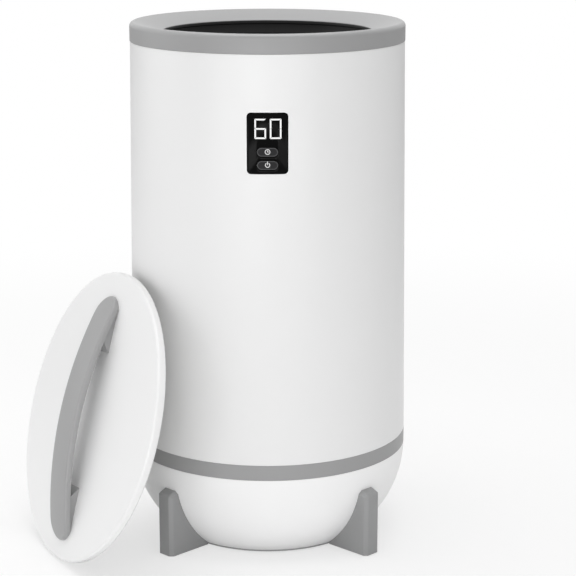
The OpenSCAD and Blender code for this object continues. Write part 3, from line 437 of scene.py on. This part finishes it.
# Bends a piece that was modelled flat, y towards the shell's inside, on to the cone
def seatOnShell(piece, cuts=0, wide=0.0):
    if cuts:
        edit(piece)
        for cut in range(1, cuts):
            bpy.ops.mesh.select_all(action="SELECT")
            at = (cut / cuts - 0.5) * wide
            bpy.ops.mesh.bisect(plane_co=(at, 0, 0), plane_no=(1, 0, 0))
        bpy.ops.object.mode_set(mode="OBJECT")
    for corner in piece.data.vertices:
        reach = shellRadius(corner.co.z) - corner.co.y
        corner.co.y = -sqrt(reach ** 2 - corner.co.x ** 2)
    piece.data.update()


def roundedTablet(wide, high, middle, back, front, corner, steps):
    piece = addBlock((-wide / 2, -front, middle - high / 2), (wide / 2, back, middle + high / 2))
    edit(piece)
    pick("EDGE", lambda edge: abs(edge.verts[0].co.y - edge.verts[1].co.y) > tolerance["same"])
    bpy.ops.mesh.bevel(offset=corner, segments=steps, affect="EDGES")
    bpy.ops.object.mode_set(mode="OBJECT")
    return piece


# The corner radius that turns a tablet into a pill, just short of letting its corners meet
def pillCorner(high):
    return high / 2 - tolerance["merge"]


def cutOut(piece, cutter):
    modify(piece, "BOOLEAN", operation="DIFFERENCE", object=cutter, solver="EXACT")
    bpy.data.objects.remove(cutter)


def easeFrontEdge(piece, front, offset, segments):
    edit(piece)
    pick("EDGE", lambda edge: all(end.co.y < -front + tolerance["merge"] for end in edge.verts)
         and sum(face.normal.y < -facing for face in edge.link_faces) == 1)
    bpy.ops.mesh.bevel(offset=offset, segments=segments, affect="EDGES")
    bpy.ops.object.mode_set(mode="OBJECT")


def addPanel():
    glass = roundedTablet(panel["wide"], panel["high"], panel["middle"], panel["sunk"], panel["proud"],
                          panel["corner"], panel["cornerSteps"])
    for height in (keys["timer"], keys["power"]):
        wide = keys["wide"] + 2 * keys["gap"]
        high = keys["high"] + 2 * keys["gap"]
        cutOut(glass, roundedTablet(wide, high, height, panel["cutReach"], panel["cutReach"],
                                    pillCorner(high), keys["endSteps"]))
    easeFrontEdge(glass, panel["proud"], panel["edge"], 2)
    seatOnShell(glass, panel["bends"], panel["wide"])
    settle(glass, "panelGlass", "bucket", [finishes["fascia_black"]],
           ["control_fascia"], smooth=25)


# The pale moulded lip that frames the panel
def addPanelLip():
    wide = panel["wide"] + 2 * panelLip["wide"]
    high = panel["high"] + 2 * panelLip["wide"]
    lip = roundedTablet(wide, high, panel["middle"], panelLip["sunk"], panelLip["proud"],
                        panel["corner"] + panelLip["wide"], panel["cornerSteps"])
    cutOut(lip, roundedTablet(panel["wide"], panel["high"], panel["middle"], panel["cutReach"],
                              panel["cutReach"], panel["corner"], panel["cornerSteps"]))
    easeFrontEdge(lip, panelLip["proud"], panelLip["round"], 3)
    seatOnShell(lip, panel["bends"], wide)
    settle(lip, "panelLip", "bucket", [lipFinish], smooth=40)


# A rectangle of four mitred bars
def addFrame(left, right, bottom, top):
    bpy.ops.object.select_all(action="DESELECT")
    bpy.ops.mesh.primitive_plane_add(size=1, location=((left + right) / 2, 0, (bottom + top) / 2),
                                     rotation=(pi / 2, 0, 0))
    bars = bpy.context.object
    bars.scale = (right - left, top - bottom, 1)
    bpy.ops.object.transform_apply(location=True, rotation=True, scale=True)
    edit(bars, "SELECT")
    bpy.ops.mesh.inset(thickness=digit["bar"])
    bpy.ops.mesh.delete(type="FACE")
    bpy.ops.object.mode_set(mode="OBJECT")
    return bars


def addDigits():
    low = digit["low"]
    high = digit["high"]
    middle = (low + high) / 2
    sixLoop = addFrame(digit["six"], digit["six"] + digit["wide"], low, middle + digit["bar"] / 2)
    sixTop = addFrame(digit["six"], digit["six"] + digit["wide"], middle - digit["bar"] / 2, high)
    edit(sixTop)
    pick("FACE", lambda face: face.calc_center_median().z < middle + digit["bar"] / 2
         or face.calc_center_median().x > digit["six"] + digit["wide"] - digit["bar"])
    bpy.ops.mesh.delete(type="FACE")
    edit(sixTop, "SELECT")
    bpy.ops.mesh.bisect(plane_co=(0, 0, middle + digit["bar"] / 2), plane_no=(0, 0, 1), clear_inner=True)
    bpy.ops.object.mode_set(mode="OBJECT")
    zero = addFrame(digit["zero"], digit["zero"] + digit["wide"], low, high)
    edit(zero, "SELECT")
    bpy.ops.mesh.bisect(plane_co=(0, 0, middle), plane_no=(0, 0, 1))
    wake(zero)
    sixLoop.select_set(True)
    sixTop.select_set(True)
    bpy.ops.object.join()
    edit(zero, "SELECT")
    bpy.ops.mesh.inset(thickness=digit["split"], use_individual=True)
    bpy.ops.mesh.select_all(action="INVERT")
    bpy.ops.mesh.delete(type="FACE")
    bpy.ops.object.mode_set(mode="OBJECT")
    modify(zero, "SOLIDIFY", thickness=digit["thick"], offset=0)
    for corner in zero.data.vertices:
        corner.co.y -= panel["proud"]
    seatOnShell(zero, panel["bends"], panel["wide"])
    settle(zero, "litDigits", "bucket", [finishes["digit_white"]],
           ["display_digits"], smooth=25)


def addKey(name, body, height, node):
    cap = roundedTablet(keys["wide"], keys["high"], height, panel["sunk"], keys["proud"],
                        pillCorner(keys["high"]), keys["endSteps"])
    edit(cap)
    pick("FACE", lambda face: face.normal.y < -facing)
    bpy.ops.mesh.inset(thickness=keys["outline"], depth=-keys["dip"])
    cap.data.materials.append(finishes["button_dark"])
    cap.data.materials.append(keyPaintedHighlightFinish)
    bpy.ops.object.mode_set(mode="OBJECT")
    # The inset ring round the key's face and the key's sides take the lighter finish, a painted highlight
    # along the key's outline
    for face in cap.data.polygons:
        centred = abs(face.center.x) < tolerance["same"] and abs(face.center.z - height) < tolerance["same"]
        inside = face.normal.y < -facing and centred
        face.material_index = 0 if inside or face.center.y > 0 else 1
    easeFrontEdge(cap, keys["proud"], keys["edge"], 2)
    seatOnShell(cap, keys["bends"], keys["wide"])
    stemFoot = -shellRadius(height) + panel["sunk"]
    bpy.ops.object.select_all(action="DESELECT")
    bpy.ops.mesh.primitive_cylinder_add(vertices=32, radius=keys["stem"], depth=keys["stemEnd"] - stemFoot,
                                        location=(0, (keys["stemEnd"] + stemFoot) / 2, height),
                                        rotation=(pi / 2, 0, 0))
    stem = bpy.context.object
    bpy.ops.object.transform_apply(location=True, rotation=True, scale=True)
    modify(stem, "BEVEL", width=keys["stemEdge"], segments=2, limit_method="ANGLE",
           angle_limit=radians(50))
    rimWide = keys["wide"] + 2 * keys["rim"]
    rimHigh = keys["high"] + 2 * keys["rim"]
    rimFront = panel["sunk"] + keys["rimGap"]
    keyRim = roundedTablet(rimWide, rimHigh, height, rimFront + keys["rimThick"], -rimFront,
                           pillCorner(rimHigh), keys["endSteps"])
    seatOnShell(keyRim, keys["bends"], rimWide)
    wake(cap)
    stem.select_set(True)
    keyRim.select_set(True)
    bpy.ops.object.join()
    settle(cap, name, body, [], [node], smooth=30)


def addRing(height, radius, line):
    bpy.ops.object.select_all(action="DESELECT")
    bpy.ops.mesh.primitive_circle_add(vertices=48, radius=radius, fill_type="NGON", location=(0, 0, height),
                                      rotation=(pi / 2, 0, 0))
    bpy.ops.object.transform_apply(location=True, rotation=True, scale=True)
    ring = bpy.context.object
    edit(ring, "SELECT")
    bpy.ops.mesh.inset(thickness=line)
    bpy.ops.mesh.delete(type="FACE")
    bpy.ops.object.mode_set(mode="OBJECT")
    return ring


def addStroke(ring, start, end, wide):
    edit(ring)
    run = (end[0] - start[0], end[1] - start[1])
    length = sqrt(run[0] ** 2 + run[1] ** 2)
    middle = ((start[0] + end[0]) / 2, 0, (start[1] + end[1]) / 2)
    bpy.ops.mesh.primitive_plane_add(size=1, location=middle, rotation=(pi / 2, 0, 0))
    bpy.ops.transform.resize(value=(wide, 1, length + wide), center_override=middle)
    bpy.ops.transform.rotate(value=-atan2(run[0], run[1]), orient_axis="Y", center_override=middle)
    bpy.ops.object.mode_set(mode="OBJECT")


def addIcon(icon, name, body):
    face = keys["proud"] - keys["dip"]
    modify(icon, "SOLIDIFY", thickness=2 * icons["lift"], offset=0)
    for corner in icon.data.vertices:
        corner.co.y -= face
    seatOnShell(icon)
    settle(icon, name, body, [iconFinish])


def addIcons():
    high = keys["timer"] + icons["up"]
    clock = addRing(high, icons["clockRadius"], icons["clockLine"])
    addStroke(clock, (0, high), (0, high + icons["longHand"]), icons["handLine"])
    addStroke(clock, (0, high), (icons["shortHand"], high), icons["handLine"])
    addIcon(clock, "timerIcon", "timer_key")
    high = keys["power"] + icons["up"]
    arc = addRing(high, icons["powerRadius"], icons["powerLine"])
    edit(arc)
    pick("FACE", lambda face: abs(atan2(face.calc_center_median().x,
                                        face.calc_center_median().z - high)) < icons["powerGap"])
    bpy.ops.mesh.delete(type="FACE")
    bpy.ops.object.mode_set(mode="OBJECT")
    addStroke(arc, (0, high + icons["barLow"]), (0, high + icons["barHigh"]), icons["powerLine"])
    addIcon(arc, "powerIcon", "power_key")


addPanel()
addPanelLip()
addDigits()
addKey("timerKey", "timer_key", keys["timer"], "timer_button")
addKey("powerKey", "power_key", keys["power"], "power_button")
addIcons()
print("panel, digits, keys and icons made")

# The bucket's inner wall, drawn up ring by ring from its floor
liner = {"floor": 0.1474, "wall": 0.110, "corner": 0.010, "bead": 0.5232, "beadIn": 0.0006,
         "beadHalf": 0.0018, "top": 0.5338, "topCorner": 0.0014, "flange": 0.1352, "sheet": 0.0012}
mouthLip = {"foot": 0.5339, "radius": 0.1084, "behind": 0.0002, "top": 0.5367, "edgeHigh": 0.0002,
            "edgeOut": 0.0001, "sheet": 0.0001}


def drawFrom(height, radius, fill, rings):
    bpy.ops.object.select_all(action="DESELECT")
    bpy.ops.mesh.primitive_circle_add(vertices=128, radius=radius, fill_type=fill, location=(0, 0, height))
    bpy.ops.object.transform_apply(location=True, rotation=True, scale=True)
    piece = bpy.context.object
    edit(piece, "SELECT")
    bpy.ops.mesh.select_mode(type="EDGE")
    for ringHeight, ringRadius in rings:
        bpy.ops.mesh.extrude_edges_move(TRANSFORM_OT_translate={"value": (0, 0, ringHeight - height)})
        share = ringRadius / radius
        bpy.ops.transform.resize(value=(share, share, 1), center_override=(0, 0, 0))
        height = ringHeight
        radius = ringRadius
    bpy.ops.object.mode_set(mode="OBJECT")
    return piece


# The rings of a small round bead that stands off a wall, inwards where out is below zero
def beadRings(height, radius, half, out):
    profile = ((-1, 0), (-0.5, 0.7), (0, 1), (0.5, 0.7), (1, 0))
    return [(height + rise * half, radius + share * out) for rise, share in profile]


def addLiner():
    rings = []
    for step in range(1, 9):
        turn = step / 8 * pi / 2
        rings.append((liner["floor"] + liner["corner"] * (1 - cos(turn)),
                      liner["wall"] - liner["corner"] * (1 - sin(turn))))
    rings += beadRings(liner["bead"], liner["wall"], liner["beadHalf"], -liner["beadIn"])
    for step in range(5):
        turn = step / 4 * pi / 2
        rings.append((liner["top"] - liner["topCorner"] * (1 - sin(turn)),
                      liner["wall"] + liner["topCorner"] * (1 - cos(turn))))
    rings.append((liner["top"], liner["flange"]))
    wall = drawFrom(liner["floor"], liner["wall"] - liner["corner"], "NGON", rings)
    modify(wall, "SOLIDIFY", thickness=liner["sheet"], offset=-1)
    settle(wall, "bucketLiner", "bucket", [finishes["liner_black"]], ["inner_bucket"])


# The thin dark lip that hides the rim's edge around the mouth, up to its light upper edge
def addMouthLip():
    rings = [(mouthLip["foot"], mouthLip["radius"]),
             (mouthLip["top"] - mouthLip["edgeHigh"], mouthLip["radius"]),
             (mouthLip["top"], mouthLip["radius"] + mouthLip["edgeOut"])]
    lip = drawFrom(mouthLip["foot"], liner["wall"] + mouthLip["behind"], "NOTHING", rings)
    modify(lip, "SOLIDIFY", thickness=mouthLip["sheet"], offset=0)
    settle(lip, "mouthLip", "bucket", [finishes["liner_black"]])


# The rim ring with a fuller shoulder, from which its top slopes straight down to the mouth
rim = {"outside": 0.143, "spigotFoot": 0.5156, "spigotOut": 0.1398, "spigotIn": 0.137, "beadAt": 0.5216,
       "beadOut": 0.0005, "beadHalf": 0.0012, "bandFoot": 0.5276, "bandEdge": 0.0003, "top": 0.547,
       "shoulder": 0.0045, "slope": 17.4, "mouth": 0.1085, "mouthTop": 0.5376, "mouthRound": 0.0006,
       "mouthFoot": 0.534, "wall": 0.0026, "mouthWalls": 0.9, "slopeWalls": 1.05}


def addRim():
    rings = beadRings(rim["beadAt"], rim["spigotOut"], rim["beadHalf"], rim["beadOut"])
    rings.append((rim["bandFoot"], rim["spigotOut"]))
    rings.append((rim["bandFoot"], rim["outside"] - rim["bandEdge"]))
    rings.append((rim["bandFoot"] + rim["bandEdge"], rim["outside"]))
    middle = rim["outside"] - rim["shoulder"]
    for step in range(13):
        turn = radians(step / 12 * (90 + rim["slope"]))
        rings.append((rim["top"] - rim["shoulder"] * (1 - sin(turn)), middle + rim["shoulder"] * cos(turn)))
    slopeEnd = rings[-1]
    small = rim["mouthRound"]
    for step in range(5):
        turn = radians(90 + rim["slope"] + step / 4 * (90 - rim["slope"]))
        rings.append((rim["mouthTop"] - small * (1 - sin(turn)), rim["mouth"] + small * (1 + cos(turn))))
    rings.append((rim["mouthFoot"], rim["mouth"]))
    rings.append((rim["mouthFoot"], rim["mouth"] + rim["wall"]))
    rings.append((rim["mouthTop"] - rim["mouthWalls"] * rim["wall"], rim["mouth"] + rim["wall"]))
    rings.append((slopeEnd[0] - rim["slopeWalls"] * rim["wall"], rim["spigotIn"]))
    rings.append((rim["spigotFoot"], rim["spigotIn"]))
    rings.append((rim["spigotFoot"], rim["spigotOut"]))
    ring = drawFrom(rim["spigotFoot"], rim["spigotOut"], "NOTHING", rings)
    edit(ring, "SELECT")
    bpy.ops.mesh.remove_doubles(threshold=tolerance["merge"])
    bpy.ops.mesh.normals_make_consistent(inside=False)
    bpy.ops.object.mode_set(mode="OBJECT")
    settle(ring, "rimRing", "bucket", [finishes["trim_grey"]], ["rim_ring"], smooth=40)


addLiner()
addMouthLip()
addRim()
print("liner, mouth lip and rim made")

# Felt: its CAD form rebuilt in small faces, then dented a little all over
feltPieces = {"insulation_sleeve": ("feltSleeve", "bucket"), "floor_insulation": ("feltFloor", "bucket"),
              "lid_insulation": ("feltLid", "lid")}
felt = {"face": 0.0032, "dent": 0.0009, "dentSize": 0.03}
dents = bpy.data.textures.new("feltDents", "CLOUDS")
dents.noise_scale = felt["dentSize"]
for node, (name, body) in feltPieces.items():
    piece = copyOf(node)
    modify(piece, "REMESH", mode="VOXEL", voxel_size=felt["face"])
    modify(piece, "DISPLACE", texture=dents, strength=felt["dent"], mid_level=1.0, texture_coords="LOCAL")
    settle(piece, name, body, [finishes["insulation"]], [node], smooth=80)
print("felt made")

cameraView = {"place": (0.003676, -1.936949, 0.727952), "turn": 0.52, "pitch": 13.535719, "roll": -0.004764,
              "lens": 116.099216}


def addCamera(place, turn, pitch, roll, lens):
    bpy.ops.object.camera_add(location=place)
    camera = bpy.context.object
    swing = Matrix.Rotation(radians(-turn), 4, "Z") @ Matrix.Rotation(radians(90 - pitch), 4, "X")
    camera.matrix_world = Matrix.Translation(place) @ swing @ Matrix.Rotation(radians(roll), 4, "Z")
    camera.data.lens = lens
    camera.data.sensor_width = 36
    camera.data.clip_end = 100
    bpy.context.scene.camera = camera


addCamera(**cameraView)

studio = {"ambient": 0.42, "floorColour": 0.93, "nearWhite": 0.6, "whiteFrom": 0.45, "whiteTo": 1.5}


def addWorld(ambient):
    world = bpy.data.worlds.new("studio")
    bpy.context.scene.world = world
    world.use_nodes = True
    tree = world.node_tree
    tree.nodes.clear()
    seen = tree.nodes.new("ShaderNodeBackground")
    lit = tree.nodes.new("ShaderNodeBackground")
    seen.inputs["Color"].default_value = (1, 1, 1, 1)
    lit.inputs["Color"].default_value = (1, 1, 1, 1)
    lit.inputs["Strength"].default_value = ambient
    ray = tree.nodes.new("ShaderNodeLightPath")
    mix = tree.nodes.new("ShaderNodeMixShader")
    out = tree.nodes.new("ShaderNodeOutputWorld")
    looked = ray.outputs["Is Camera Ray"]
    for kind in ("Is Glossy Ray", "Is Transmission Ray"):
        either = tree.nodes.new("ShaderNodeMath")
        either.operation = "MAXIMUM"
        tree.links.new(looked, either.inputs[0])
        tree.links.new(ray.outputs[kind], either.inputs[1])
        looked = either.outputs[0]
    tree.links.new(looked, mix.inputs[0])
    tree.links.new(lit.outputs[0], mix.inputs[1])
    tree.links.new(seen.outputs[0], mix.inputs[2])
    tree.links.new(mix.outputs[0], out.inputs[0])


# Pale paper that takes the shadow near the object and is plain white further out
def addFloor(floorColour, nearWhite, whiteFrom, whiteTo):
    bpy.ops.mesh.primitive_plane_add(size=40, location=(0, 0, 0))
    floor = bpy.context.object
    floor.name = "studioFloor"
    look = Look("floorPaper", Roughness=0.9, Specular_IOR_Level=0.0)
    tooth = look.noise(300, 2, 0.5)
    paper = look.blend(tooth, (floorColour - 0.01,) * 3, (floorColour + 0.01,) * 3)
    look.wear(Base_Color=paper)
    away = look.add("ShaderNodeVectorMath", {"operation": "LENGTH"}, {0: look.place()}, out="Value")
    reach = {"Value": away, "From Min": whiteFrom, "From Max": whiteTo, "To Min": nearWhite, "To Max": 1.0}
    white = look.add("ShaderNodeMapRange", {"interpolation_type": "SMOOTHSTEP"}, reach)
    ray = look.add("ShaderNodeLightPath", out="Is Camera Ray")
    glow = look.tree.nodes.new("ShaderNodeEmission")
    mix = look.tree.nodes.new("ShaderNodeMixShader")
    look.tree.links.new((white * ray).socket, mix.inputs[0])
    look.tree.links.new(look.shader.outputs[0], mix.inputs[1])
    look.tree.links.new(glow.outputs[0], mix.inputs[2])
    look.tree.links.new(mix.outputs[0], look.tree.nodes["Material Output"].inputs["Surface"])
    floor.data.materials.append(look.material)


lamps = {
    "topSoft": {"place": (0, 0.1, 2.4), "aim": (0, 0, 0.3), "size": (2.0, 2.0), "watts": 37},
    "sideLeft": {"place": (-2.0, 0.2, 0.9), "aim": (0, 0, 0.3), "size": (1.6, 1.6), "watts": 6.6},
    "frontLeft": {"place": (-0.9, -2.2, 0.25), "aim": (0, 0, 0.1), "size": (1.8, 0.45), "watts": 7.5},
    "frontMiddle": {"place": (0.3, -2.3, 0.3), "aim": (0, 0, 0.12), "size": (2.2, 0.5), "watts": 10.5},
}


def addLamps():
    for name, lamp in lamps.items():
        bpy.ops.object.light_add(type="AREA", location=lamp["place"])
        light = bpy.context.object
        light.name = name
        light.visible_camera = False
        light.data.shape = "RECTANGLE"
        light.data.size = lamp["size"][0]
        light.data.size_y = lamp["size"][1]
        light.data.energy = lamp["watts"]
        toward = Vector(lamp["aim"]) - Vector(lamp["place"])
        light.rotation_euler = toward.to_track_quat("-Z", "Y").to_euler()


addWorld(studio["ambient"])
addFloor(studio["floorColour"], studio["nearWhite"], studio["whiteFrom"], studio["whiteTo"])
addLamps()
bpy.context.scene.view_settings.view_transform = "Standard"
print("studio built")
